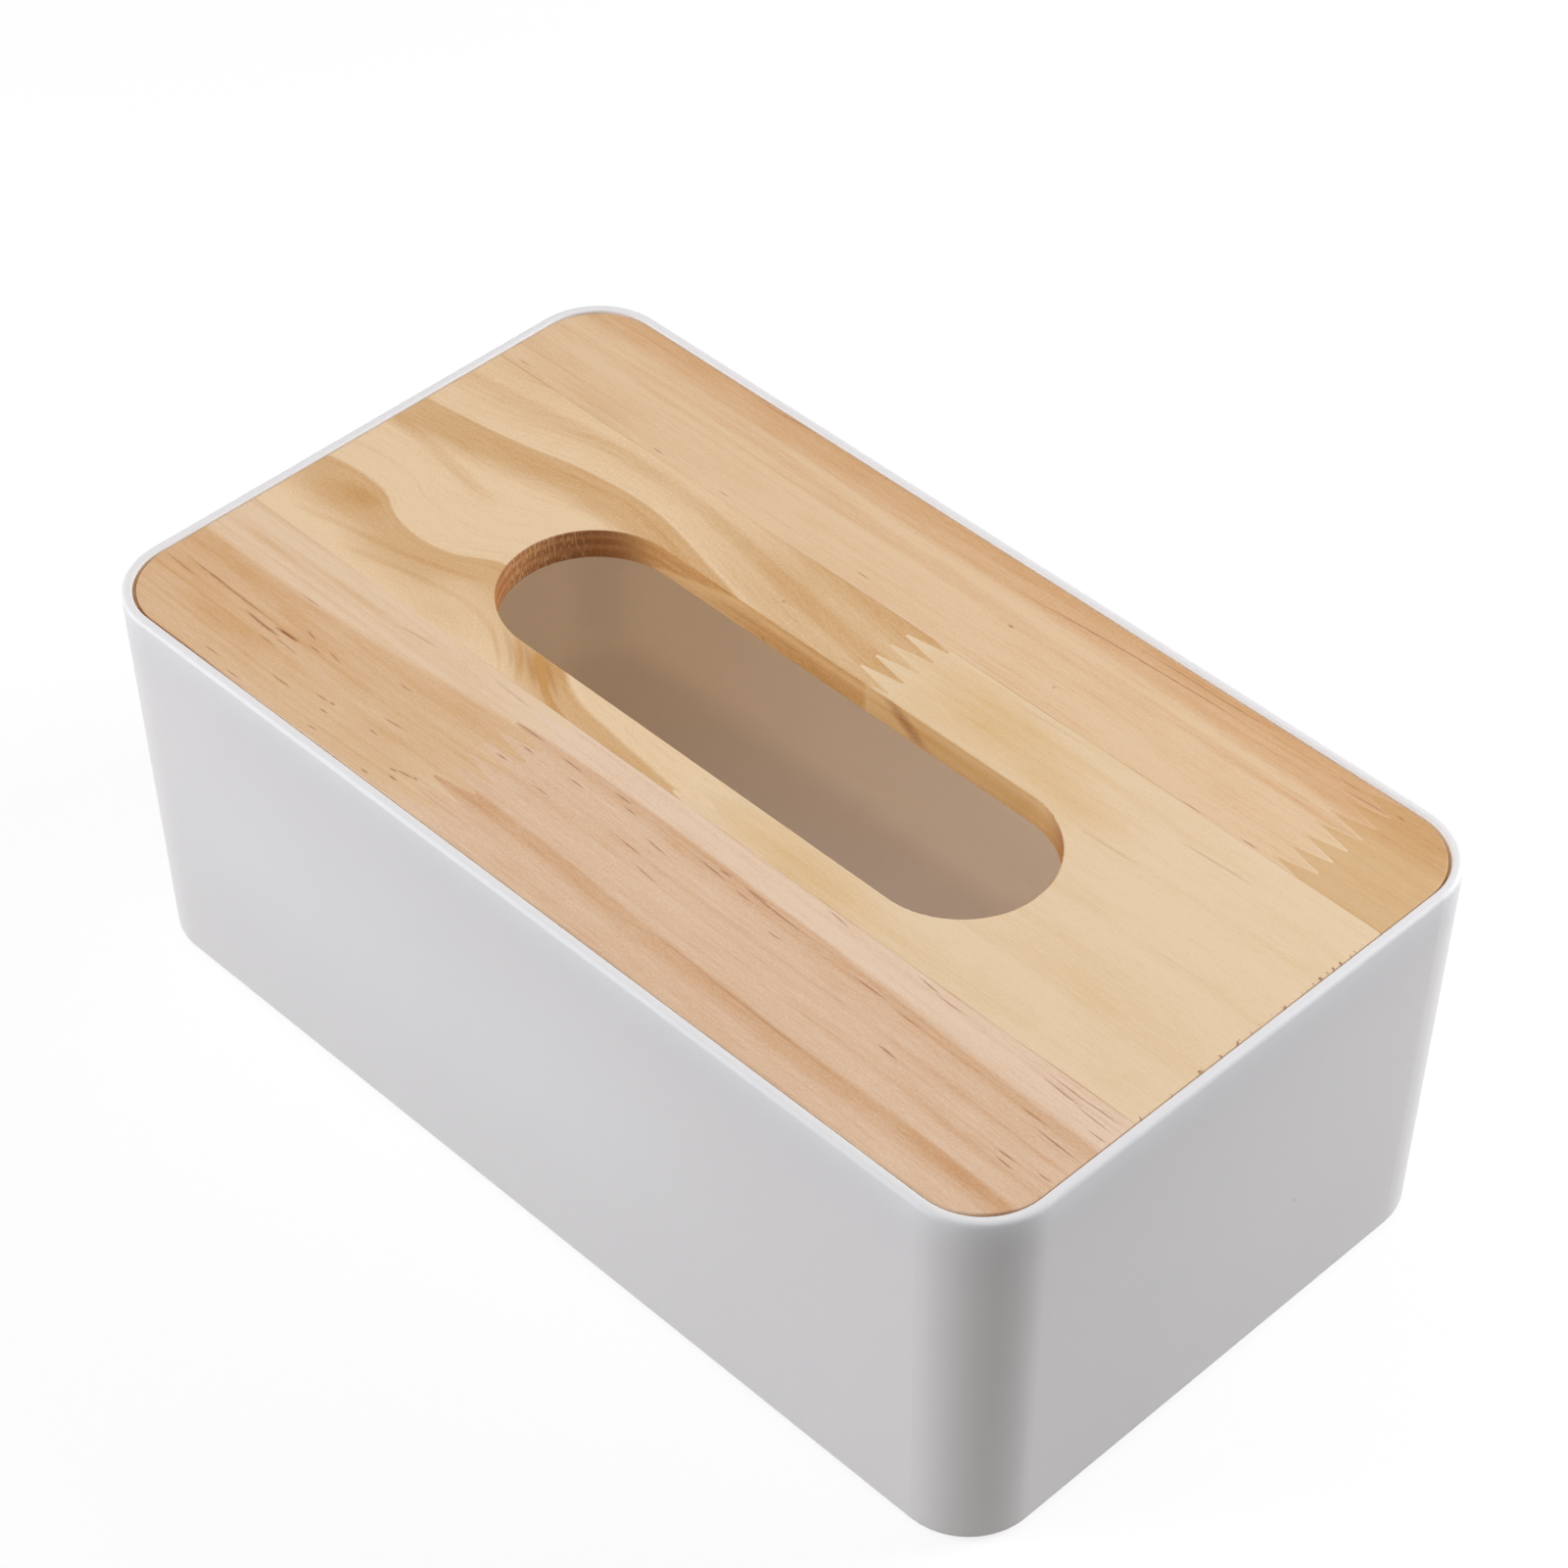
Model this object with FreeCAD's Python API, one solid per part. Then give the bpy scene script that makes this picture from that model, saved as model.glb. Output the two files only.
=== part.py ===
import FreeCAD, Part
import math
import os

# A box for a flat pack of tissues: a moulded box with a floor and round corners, and a loose lid
# of pine boards that are glued edge to edge and finger jointed end to end.
# Millimetres. X runs along the box, Y across it and Z up. The origin is the middle of the underside.

# Outside of the box
box_length = 240.0
box_width = 136.0
box_height = 90.0
box_corner_radius = 16.0
foot_corner_radius = 15.0
side_draft = 2.4
foot_round = 1.5

# Walls of the box
rim_wall = 2.2
ledge_width = 1.5
foot_wall = 2.6
floor_thickness = 2.5
rim_outer_round_share = 0.45
rim_inner_round_share = 0.25
floor_round_share = 0.5

# Lid and its slot
lid_thickness = 7.0
lid_recess = 0.3
lid_clearance = 0.3
lid_corner_radius = 14.5
lid_edge_round = 0.3
slot_length = 136.0
slot_width = 38.0

# Boards of the lid: the middle row's width and how far it lies behind the lid's middle, and the
# finger joints between left and right boards. The outer rows take what the middle row leaves.
# A joint share places the joint along the lid, from its middle, as a share of the lid's length.
# A phase share places the first finger, from the row's front line, as a share of the pitch.
centre_board_width = 65.3
centre_board_offset = 4.65
back_joint_share = 0.405
centre_joint_share = 0.028
front_joint_share = -0.117
back_phase_share = 0.36
centre_phase_share = 0.22
front_phase_share = 0.6
finger_pitch = 4.1
finger_length = 9.2
finger_tip = 0.6

# How far a cutting solid runs past what it cuts, and how close two equal heights have to be
cut_overrun = 5.0
closeness = 0.001

# Sizes that follow from those above
foot_length = box_length - 2 * side_draft
foot_width = box_width - 2 * side_draft
lid_top = box_height - lid_recess
ledge_height = lid_top - lid_thickness
pocket_length = box_length - 2 * rim_wall
pocket_width = box_width - 2 * rim_wall
pocket_corner_radius = box_corner_radius - rim_wall
hollow_length = pocket_length - 2 * ledge_width
hollow_width = pocket_width - 2 * ledge_width
hollow_corner_radius = pocket_corner_radius - ledge_width
floor_length = foot_length - 2 * foot_wall
floor_width = foot_width - 2 * foot_wall
floor_corner_radius = foot_corner_radius - foot_wall
rim_outer_round = rim_wall * rim_outer_round_share
rim_inner_round = rim_wall * rim_inner_round_share
floor_round = floor_corner_radius * floor_round_share
lid_length = pocket_length - 2 * lid_clearance
lid_width = pocket_width - 2 * lid_clearance
back_line = centre_board_offset + centre_board_width / 2
front_line = centre_board_offset - centre_board_width / 2


def corner_arc(quarter, centre_x, centre_y, radius, height):
    """A quarter circle at a level height; quarter 0 turns from +X to +Y, and so on round."""
    points = []
    for eighth in range(3):
        angle = math.pi / 4 * (2 * quarter + eighth)
        points.append(FreeCAD.Vector(
            centre_x + radius * math.cos(angle), centre_y + radius * math.sin(angle), height))
    return Part.Arc(*points).toShape()


def rounded_outline(length, width, radius, height):
    """A level rectangle with round corners; with a radius of half the width its ends are round."""
    reach_x = length / 2 - radius
    reach_y = width / 2 - radius
    corners = [(reach_x, reach_y), (-reach_x, reach_y), (-reach_x, -reach_y), (reach_x, -reach_y)]
    arcs = []
    for quarter, (centre_x, centre_y) in enumerate(corners):
        arcs.append(corner_arc(quarter, centre_x, centre_y, radius, height))
    edges = []
    for arc, following in zip(arcs, arcs[1:] + arcs[:1]):
        edges.append(arc)
        start = arc.valueAt(arc.LastParameter)
        end = following.valueAt(following.FirstParameter)
        if not start.isEqual(end, closeness):
            edges.append(Part.LineSegment(start, end).toShape())
    return Part.Wire(edges)


def straight_block(outline, depth):
    """The solid above a level outline."""
    return Part.Face(outline).extrude(FreeCAD.Vector(0, 0, depth))


def tapered_block(low_outline, high_outline):
    """The solid between two level outlines, with straight sloping sides."""
    return Part.makeLoft([low_outline, high_outline], True, True)


def level_edges(shape, height):
    """The edges of a shape that lie level at one height."""
    edges = []
    for edge in shape.Edges:
        bounds = edge.BoundBox
        if abs(bounds.ZMin - height) < closeness and abs(bounds.ZMax - height) < closeness:
            edges.append(edge)
    return edges


def inner_rim_edges(box):
    """The edges of the rim's top that border the lid's pocket."""
    edges = []
    for edge in level_edges(box, box_height):
        bounds = edge.BoundBox
        reach_x = max(abs(bounds.XMin), abs(bounds.XMax))
        reach_y = max(abs(bounds.YMin), abs(bounds.YMax))
        if reach_x < pocket_length / 2 + closeness and reach_y < pocket_width / 2 + closeness:
            edges.append(edge)
    return edges


def make_box():
    """The moulded box: drafted outside, hollow with a rounded floor edge, and a pocket for the lid."""
    outside = tapered_block(
        rounded_outline(foot_length, foot_width, foot_corner_radius, 0),
        rounded_outline(box_length, box_width, box_corner_radius, box_height))
    outside = outside.makeFillet(foot_round, level_edges(outside, 0))
    outside = outside.makeFillet(rim_outer_round, level_edges(outside, box_height))
    hollow = tapered_block(
        rounded_outline(floor_length, floor_width, floor_corner_radius, floor_thickness),
        rounded_outline(hollow_length, hollow_width, hollow_corner_radius, ledge_height))
    hollow = hollow.makeFillet(floor_round, level_edges(hollow, floor_thickness))
    pocket = straight_block(
        rounded_outline(pocket_length, pocket_width, pocket_corner_radius, ledge_height),
        box_height - ledge_height + cut_overrun)
    box = outside.cut(hollow.fuse(pocket))
    return box.makeFillet(rim_inner_round, inner_rim_edges(box))


def make_lid_panel():
    """The whole lid, with its slot and eased edges, before it is divided into boards."""
    panel = straight_block(
        rounded_outline(lid_length, lid_width, lid_corner_radius, ledge_height), lid_thickness)
    slot = straight_block(
        rounded_outline(slot_length, slot_width, slot_width / 2, ledge_height - cut_overrun),
        lid_thickness + 2 * cut_overrun)
    panel = panel.cut(slot)
    edges = level_edges(panel, ledge_height) + level_edges(panel, lid_top)
    return panel.makeFillet(lid_edge_round, edges)


def finger_points(joint_x, low_y, high_y, phase_share):
    """The zigzag of a finger joint, from low to high, with the tips of both boards cut flat."""
    left_x = joint_x - finger_length / 2
    right_x = joint_x + finger_length / 2
    count = math.ceil((high_y - low_y) / finger_pitch) + 1
    points = []
    for number in range(-1, count):
        left_y = low_y + finger_pitch * (number + phase_share)
        right_y = left_y + finger_pitch / 2
        points.append((left_x, left_y - finger_tip / 2))
        points.append((left_x, left_y + finger_tip / 2))
        points.append((right_x, right_y - finger_tip / 2))
        points.append((right_x, right_y + finger_tip / 2))
    return points


def make_board_pair(panel, low_y, high_y, joint_share, phase_share):
    """The left and right boards of one row of the lid."""
    base = ledge_height - cut_overrun
    depth = lid_thickness + 2 * cut_overrun
    far_left = -lid_length / 2 - cut_overrun
    row = panel.common(Part.makeBox(
        lid_length + 2 * cut_overrun, high_y - low_y, depth, FreeCAD.Vector(far_left, low_y, base)))
    outline = finger_points(lid_length * joint_share, low_y, high_y, phase_share)
    outline.append((far_left, outline[-1][1]))
    outline.append((far_left, outline[0][1]))
    outline.append(outline[0])
    corners = [FreeCAD.Vector(x, y, base) for x, y in outline]
    left_side = straight_block(Part.makePolygon(corners), depth)
    return row.common(left_side), row.cut(left_side)


def save(shape, name):
    """Write one piece under its name."""
    shape.exportStep(os.path.join("parts", name + ".step"))


os.makedirs("parts", exist_ok=True)
save(make_box(), "box")
lid_panel = make_lid_panel()
rows = [
    ("back", back_line, lid_width / 2 + cut_overrun, back_joint_share, back_phase_share),
    ("centre", front_line, back_line, centre_joint_share, centre_phase_share),
    ("front", -lid_width / 2 - cut_overrun, front_line, front_joint_share, front_phase_share),
]
for row_name, low_line, high_line, row_joint_share, row_phase_share in rows:
    left_board, right_board = make_board_pair(
        lid_panel, low_line, high_line, row_joint_share, row_phase_share)
    save(left_board, row_name + "_left_board")
    save(right_board, row_name + "_right_board")
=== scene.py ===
import math

import bpy
from mathutils import Matrix, Vector


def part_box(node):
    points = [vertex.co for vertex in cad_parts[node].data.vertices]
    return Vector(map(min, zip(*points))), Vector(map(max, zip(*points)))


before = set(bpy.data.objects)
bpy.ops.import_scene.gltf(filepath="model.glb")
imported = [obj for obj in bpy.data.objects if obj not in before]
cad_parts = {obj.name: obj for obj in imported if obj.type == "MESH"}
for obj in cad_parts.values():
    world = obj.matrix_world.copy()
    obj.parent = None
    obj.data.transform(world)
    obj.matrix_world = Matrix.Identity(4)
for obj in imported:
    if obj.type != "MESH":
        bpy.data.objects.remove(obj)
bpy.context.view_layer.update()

# A white moulded box for tissues with a loose lid of finger-jointed pine boards.
# Objects are in metres. The materials work in millimetres, along the lid (x), across it (y) and up (z).
# A pair of limits is where a fade starts and where it is complete.

MM_PER_M = 1000.0
WHITE = (1.0, 1.0, 1.0, 1.0)


def linear(red, green, blue):
    """A colour written as 0 to 255 screen values, as the linear colour that shaders take."""
    channels = []
    for value in (red, green, blue):
        share = value / 255
        channels.append(share / 12.92 if share <= 0.04045 else ((share + 0.055) / 1.055) ** 2.4)
    return (*channels, 1.0)


# Camera, from the photograph's view: degrees, metres and a lens for a 36 mm sensor
CAMERA_AZIMUTH = 45.5
CAMERA_ELEVATION = 43.39
CAMERA_ROLL = -0.09
CAMERA_DISTANCE = 0.8728
CAMERA_AIM_HEIGHT = 0.045
CAMERA_AIM_RIGHT = 0.00245
CAMERA_AIM_UP = 0.01963
CAMERA_LENS_MM = 102.98
CAMERA_SENSOR_MM = 36.0

# Finger joints: the pitch and, for each row, the phase of the fingers from the row's front line and how
# much pale glue shows on them; then the glue's width on a finger's side, and its fades at the tips and
# towards the back
FINGER_PITCH = 4.1
FINGER_PHASE = {"back": 0.36, "centre": 0.22, "front": 0.6}
FINGER_GLUE = {"back": 0.75, "centre": 0.4, "front": 0.08}
FLANK_WIDTH = (1.2, 0.3)
FLANK_LEFT_END = (-0.6, 0.4)
FLANK_RIGHT_END = (0.6, -0.4)
FLANK_UNEVENNESS = (0.2, 1.0)
FLANK_FADE_BACK = (61.0, 50.0)
FLANK_LEAST = 0.25

# Dark glue lines along the rows: their width, patches and strength, and where they hardly show
GLUE_WIDTH = (0.3, 0.05)
GLUE_PATCHES = (22.0, 3.0)
GLUE_PATCH_LIMITS = (0.4, 0.68)
GLUE_STRENGTH = (0.05, 0.5)
GLUE_HIDDEN_Y = (0.0, -20.0)
GLUE_HIDDEN_X = (-15.0, -60.0)
GLUE_HIDDEN_SHARE = 0.9

# Wood colours that all boards share
RESIN = linear(140, 74, 38)
END_GRAIN = linear(156, 100, 58)
END_FIBRE = linear(214, 172, 128)
END_LAYER = linear(196, 140, 90)
# Cut wood on the slot's sides: its own darker, warmer colour, with painted warm shade
SIDE_CUT_AND_SHADE = linear(246, 232, 206)
# Painted light: a paler colour for the eased edges, against the shade in the gap
EDGE_PAINTED_LIGHT = linear(250, 234, 210)
GLUE_LINE = linear(172, 122, 78)
PALE_GLUE = linear(233, 210, 178)

# Grain that is drawn out along the board: sizes along and across it in millimetres, and detail
FINE_GRAIN = (9.0, 0.5, 3.0)
FIBRES = (2.4, 0.28, 2.0)
MOTTLE = (16.0, 4.0, 4.0)

# Texture with sizes along, across and into the board in millimetres, then detail and, for fuzz, roughness
ROUGH = (1.6, 0.5, 0.5, 2.0)
PORES = (0.7, 0.4, 0.4, 1.0)
WAVES = (90.0, 45.0, 45.0, 1.0)
LAYERS = (50.0, 50.0, 1.6, 2.0)
FUZZ = (0.8, 0.4, 1.6, 4.0, 0.65)

# How far grain and texture shift the colour between pale and tan
FINE_SHARE = 0.5
FIBRE_SHARE = 0.45
MOTTLE_SHARE = 0.35
PORE_SHARE = 0.5
LAYER_SHARE = 1.6

# Rise of the growth lines across the board for each millimetre of depth
DEPTH_LEAN = 0.9

# Resin marks: how much they cover, how their sides wander in millimetres, and how they fade at their ends
MARK_SHARE = 0.85
MARK_JITTER = 0.2
DASH_STRENGTH = 0.65
DASH_LIMITS = (1.1, 0.2)
STROKE_JITTER = 0.3
STROKE_START_SHARE = 0.4
STROKE_END_SHARE = 0.3
STROKE_UNEVENNESS = (0.3, 1.2)

# Slot and edges of the lid: where the slot is, which faces count as its sides, the painted light on the eased
# edges, less at the right, and painted shade at the front left corner
SLOT_LIMITS_X = (90.0, 80.0)
SLOT_LIMITS_Y = (35.0, 28.0)
SIDE_FACING = (0.85, 0.3)
EASED_FACING = (0.97, 0.6)
EASED_DEPTH = (1.6, 0.8)
RIGHT_FACING = (0.3, 0.7)
EDGE_LIGHT_SHARE = 0.5
EDGE_LIGHT_SHARE_RIGHT = 0.15
SHADED_X = (-70.0, -100.0)
SHADED_Y = (-48.0, -56.0)
SHADED_SHARE = 0.6

# End grain: which faces show it, how much outside the slot, and where it is fuzzy
END_FACING = (0.1, 0.7)
END_DEPTH = (0.8, 2.5)
END_SHARE_OUTSIDE = 0.5
END_STRENGTH = (0.75, 1.1)
FUZZY_FROM = (-9.0, -2.0)
FUZZY_TO = (15.0, 9.0)
FUZZY_STRENGTH = (0.2, 1.0)
FUZZ_LIMITS = (0.47, 0.64)
END_LAYER_LIMITS = (0.45, 0.62)
END_LAYER_SHARE = 0.7

# Finish of the wood: the bump's distance is in metres
WOOD_ROUGHNESS = (0.58, 0.66)
WOOD_SPECULAR = 0.2
WOOD_BUMP = 0.25
WOOD_BUMP_DISTANCE = 0.0002
BUMP_SHARE = 0.5

# Plastic: colours, with painted shade for the rim, texture and dust specks, with sizes in millimetres
PLASTIC_LOW = linear(235, 235, 241)
PLASTIC_HIGH = linear(240, 240, 246)
RIM_PAINTED_SHADE = linear(231, 232, 236)
SPECK = linear(150, 146, 140)
CLOUD_SIZE = 60.0
TEXTURE_SIZE = 1.4
SPECK_SPACING = 30.0
SPECK_RADIUS = (0.012, 0.006)
SPECK_CHANCE = (0.55, 0.56)
SPECK_SHARE = 0.5
PLASTIC_ROUGHNESS = (0.42, 0.5)
PLASTIC_SPECULAR = 0.4
PLASTIC_BUMP = 0.01
PLASTIC_BUMP_DISTANCE = 0.0001
RIM_FACING = (0.15, 0.5)
RIM_HEIGHT = (60.0, 70.0)

# Thin walls of white plastic let some light through, and it is warmer inside. A face counts as outside
# where it looks away from the box's middle, or down: limits in millimetres, and the weight of down.
GLOW_SHARE = 0.272
RIM_GLOW_LOSS = 0.6
FLOOR_EXTRA_GLOW = 0.04
INSIDE_FLOOR_HEIGHT = (8.0, 3.0)
OUTWARD_LIMITS = (-5.0, 5.0)
DOWNWARD_WEIGHT = 40.0
OUTER_GLOW = (0.86, 0.96, 1.0, 1.0)
INNER_GLOW = (1.0, 0.8, 0.575, 1.0)

# Stage, in metres: a pale floor that the camera sees as white, with a trace of the shadow kept
FLOOR_SIZE = 6.0
FLOOR_DROP = 0.0002
FLOOR_BOUNCE = linear(165, 165, 165)
FLOOR_GLOW = 0.8
FLOOR_SHADOW_SHARE = 0.22
WORLD_STRENGTH = 0.22

# Softboxes: name, place and size in metres, and power in watts
SOFTBOXES = (
    ("top_softbox", (-0.12, -0.45, 1.0), (0.9, 0.9), 3.45),
    ("left_softbox", (-0.64, -0.77, 0.4), (0.6, 0.7), 7.4),
    ("right_softbox", (0.4, 0.7, 0.4), (0.5, 0.6), 7.8),
)
SOFTBOX_AIM = (0.0, 0.0, 0.05)


def sizes_of(node):
    """Lowest and highest corner of a CAD node in millimetres."""
    low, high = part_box(node)
    return low * MM_PER_M, high * MM_PER_M


def highest_corner(nodes):
    """Highest corner of several CAD nodes in millimetres."""
    corners = [sizes_of(node)[1] for node in nodes]
    return Vector([max(corner[axis] for corner in corners) for axis in range(3)])


lid_high = highest_corner([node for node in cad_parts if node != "box"])


class Field:
    """A number that varies over a surface: a node's output, with arithmetic that adds nodes."""

    def __init__(self, graph, socket):
        self.graph = graph
        self.socket = socket

    def __add__(self, other):
        return self.graph.math("ADD", self, other)

    def __sub__(self, other):
        return self.graph.math("SUBTRACT", self, other)

    def __rsub__(self, other):
        return self.graph.math("SUBTRACT", other, self)

    def __mul__(self, other):
        return self.graph.math("MULTIPLY", self, other)

    def __truediv__(self, other):
        return self.graph.math("DIVIDE", self, other)

    def size(self):
        """The number without its sign."""
        return self.graph.math("ABSOLUTE", self)

    def fraction(self):
        """What is left over a whole number."""
        return self.graph.math("FRACT", self)

    def greatest(self, other):
        """The greater of two numbers."""
        return self.graph.math("MAXIMUM", self, other)

    def least(self, other):
        """The lesser of two numbers."""
        return self.graph.math("MINIMUM", self, other)

    def rise(self, start, end):
        """0 up to start, 1 from end on, smooth between; it falls where end is below start."""
        made = self.graph.node("ShaderNodeMapRange", interpolation_type="SMOOTHSTEP")
        self.graph.feed(made.inputs["Value"], self)
        self.graph.feed(made.inputs["From Min"], start)
        self.graph.feed(made.inputs["From Max"], end)
        return Field(self.graph, made.outputs["Result"])

    def spread(self, low, high):
        """A 0 to 1 field as a number from low to high."""
        return self * (high - low) + low

    def swing(self, amount):
        """A 0 to 1 field as a number on both sides of 0, that amount from end to end."""
        return (self - 0.5) * amount


class Graph:
    """A material and its nodes; a value is a number, a colour, a socket or a Field."""

    def __init__(self, name):
        self.material = bpy.data.materials.new(name)
        self.material.use_nodes = True
        self.tree = self.material.node_tree
        self.tree.nodes.clear()
        coordinates = self.node("ShaderNodeTexCoord")
        place = self.node("ShaderNodeSeparateXYZ")
        self.feed(place.inputs[0], coordinates.outputs["Object"])
        self.x, self.y, self.z = (Field(self, out) * MM_PER_M for out in place.outputs)
        facing = self.node("ShaderNodeSeparateXYZ")
        self.feed(facing.inputs[0], coordinates.outputs["Normal"])
        self.facing_x, self.facing_y, self.facing_z = (Field(self, out) for out in facing.outputs)

    def node(self, kind, **settings):
        """A new node with its settings."""
        made = self.tree.nodes.new(kind)
        for key, value in settings.items():
            setattr(made, key, value)
        return made

    def feed(self, socket, value):
        """Links a value to an input, or sets the input to a plain number or colour."""
        if isinstance(value, Field):
            value = value.socket
        if isinstance(value, bpy.types.NodeSocket):
            self.tree.links.new(value, socket)
        else:
            socket.default_value = value

    def math(self, operation, *values):
        """The result of one sum."""
        made = self.node("ShaderNodeMath", operation=operation)
        for socket, value in zip(made.inputs, values):
            self.feed(socket, value)
        return Field(self, made.outputs[0])

    def vector(self, x, y, z):
        """A place from its three numbers."""
        made = self.node("ShaderNodeCombineXYZ")
        for socket, value in zip(made.inputs, (x, y, z)):
            self.feed(socket, value)
        return made.outputs[0]

    def scaled(self, size):
        """The surface's own place, in units of a size."""
        return self.x / size, self.y / size, self.z / size

    def noise(self, x, y, z, detail=2.0, roughness=0.5):
        """Smooth noise, about 0 to 1, with features one unit across."""
        made = self.node("ShaderNodeTexNoise", noise_dimensions="3D")
        self.feed(made.inputs["Vector"], self.vector(x, y, z))
        made.inputs["Scale"].default_value = 1.0
        made.inputs["Detail"].default_value = detail
        made.inputs["Roughness"].default_value = roughness
        return Field(self, made.outputs[0])

    def cells(self, x, y, z):
        """Distance to the nearest of scattered points one unit apart, and a random number for each."""
        made = self.node("ShaderNodeTexVoronoi", voronoi_dimensions="3D", feature="F1")
        self.feed(made.inputs["Vector"], self.vector(x, y, z))
        made.inputs["Scale"].default_value = 1.0
        split = self.node("ShaderNodeSeparateColor")
        self.feed(split.inputs[0], made.outputs["Color"])
        return Field(self, made.outputs["Distance"]), Field(self, split.outputs[0])

    def reach(self, place, middle, size, turn=0.0):
        """Distance from a middle in half-sizes: 0 there and 1 on the ellipse of that length and width."""
        made = self.node("ShaderNodeMapping", vector_type="TEXTURE")
        self.feed(made.inputs["Vector"], place)
        made.inputs["Location"].default_value = (middle[0], middle[1], 0.0)
        made.inputs["Rotation"].default_value = (0.0, 0.0, turn)
        made.inputs["Scale"].default_value = (size[0] / 2, size[1] / 2, 1.0)
        length = self.node("ShaderNodeVectorMath", operation="LENGTH")
        self.feed(length.inputs[0], made.outputs[0])
        return Field(self, length.outputs["Value"])

    def curve(self, value, points):
        """A smooth line through given points: the height at each value."""
        made = self.node("ShaderNodeFloatCurve")
        mapping = made.mapping
        mapping.use_clip = False
        mapping.extend = "HORIZONTAL"
        line = mapping.curves[0]
        line.points[0].location = points[0]
        line.points[1].location = points[-1]
        for point in points[1:-1]:
            line.points.new(*point)
        mapping.update()
        self.feed(made.inputs["Value"], value)
        return Field(self, made.outputs[0])

    def mix(self, factor, first, second, blend="MIX"):
        """The first colour where the factor is 0 and the second, or its blend, where it is 1."""
        made = self.node("ShaderNodeMix", data_type="RGBA", blend_type=blend, clamp_factor=True)
        self.feed(made.inputs["Factor"], factor)
        self.feed(made.inputs[6], first)
        self.feed(made.inputs[7], second)
        return made.outputs[2]

    def bump(self, height, strength, distance):
        """A surface direction that follows a height."""
        made = self.node("ShaderNodeBump")
        made.inputs["Strength"].default_value = strength
        made.inputs["Distance"].default_value = distance
        self.feed(made.inputs["Height"], height)
        return made.outputs[0]

    def principled(self, **inputs):
        """The principled shader, with its inputs by name, spaces as underscores."""
        shader = self.node("ShaderNodeBsdfPrincipled")
        for key, value in inputs.items():
            self.feed(shader.inputs[key.replace("_", " ")], value)
        return shader.outputs[0]

    def finish(self, shader):
        """Joins the shader to the material's output and returns the material."""
        output = self.node("ShaderNodeOutputMaterial")
        self.feed(output.inputs["Surface"], shader)
        return self.material


class Wood:
    """Pine: a pale ground, tan late wood, streaks along the grain, dark resin marks and end grain."""

    def __init__(self, name, pale, tan, seed):
        self.graph = Graph(name)
        self.pale = pale
        self.tan = tan
        self.seed = seed
        self.x = self.graph.x
        self.y = self.graph.y
        self.depth = lid_high.z - self.graph.z
        self.level = self.y + self.depth * DEPTH_LEAN
        self.across = self.level
        self.rough = self.speckle(*ROUGH)
        self.place = self.graph.vector(self.x, self.level + self.rough.swing(MARK_JITTER), 0.0)
        self.dark = None
        self.marks = None
        self.calm = 1.0

    def speckle(self, along, across, deep, detail, roughness=0.5):
        """Noise in the board's own directions: feature sizes in millimetres."""
        return self.graph.noise(
            self.x / along, self.y / across, self.depth / deep + self.seed, detail, roughness)

    def streaks(self, along, across, detail=2.0):
        """Noise drawn out along the grain: feature sizes along and across it, in millimetres."""
        return self.graph.noise(
            self.x / along, self.across / across, self.depth / across + self.seed, detail)

    def height_over(self, points):
        """Height over a growth line through given points, in millimetres across the board."""
        return self.level - self.graph.curve(self.x, points)

    def ring(self, points, edge, solid, fade):
        """Late wood: 1 below a growth line for a solid width, gone above the line and faded out below."""
        height = self.height_over(points)
        return height.rise(edge, -edge) * height.rise(-solid - fade, -solid)

    def stripe(self, points, half_width, soft):
        """1 along a growth line, with soft sides."""
        return self.height_over(points).size().rise(half_width + soft, half_width)

    def stroke(self, points, width):
        """A thin dark line along the grain that tapers at its ends."""
        start = points[0][0]
        end = points[-1][0]
        from_start = (self.x - start).rise(0.0, (end - start) * STROKE_START_SHARE)
        to_end = (self.x - end).rise(0.0, (start - end) * STROKE_END_SHARE)
        distance = (self.height_over(points) + self.rough.swing(STROKE_JITTER)).size()
        return distance.rise(width, 0.0) * (from_start * to_end) * self.rough.spread(*STROKE_UNEVENNESS)

    def patch(self, x, y, length, width, slope=0.0):
        """A soft spot, 1 in its middle."""
        return self.graph.reach(self.place, (x, y), (length, width), math.atan(slope)).rise(1.0, 0.0)

    def dash(self, x, y, length, width, slope=0.0):
        """A short resin mark along the grain."""
        reach = self.graph.reach(self.place, (x, y), (length, width), math.atan(slope))
        return reach.rise(*DASH_LIMITS)

    def add_dark(self, cover, strength):
        """Shifts the colour from pale towards tan: by the strength where the cover is 1."""
        shift = cover * strength
        self.dark = shift if self.dark is None else self.dark + shift

    def add_spots(self, rows):
        """Soft spots, each with its middle, length, width, slope and strength; below 0 they are paler."""
        for x, y, length, width, slope, strength in rows:
            self.add_dark(self.patch(x, y, length, width, slope), strength)

    def add_streaks(self, rows):
        """Tan streaks, each with its sizes along and across, the noise's limits, and a strength."""
        for along, across, start, end, strength in rows:
            self.add_dark(self.streaks(along, across).rise(start, end) * self.calm, strength)

    def add_mark(self, cover, strength):
        """Puts a resin mark over those there are: as dark as its strength where the cover is 1."""
        mark = cover * strength
        self.marks = mark if self.marks is None else self.marks.greatest(mark)

    def add_strokes(self, rows):
        """Thin dark lines, each with its points, width and strength."""
        for points, width, strength in rows:
            self.add_mark(self.stroke(points, width), strength)

    def add_dashes(self, rows, longer=1.0, wider=1.0):
        """Short resin marks, each with its middle, length, width and slope."""
        for x, y, length, width, slope in rows:
            self.add_mark(self.dash(x, y, length * longer, width * wider, slope), DASH_STRENGTH)


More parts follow.
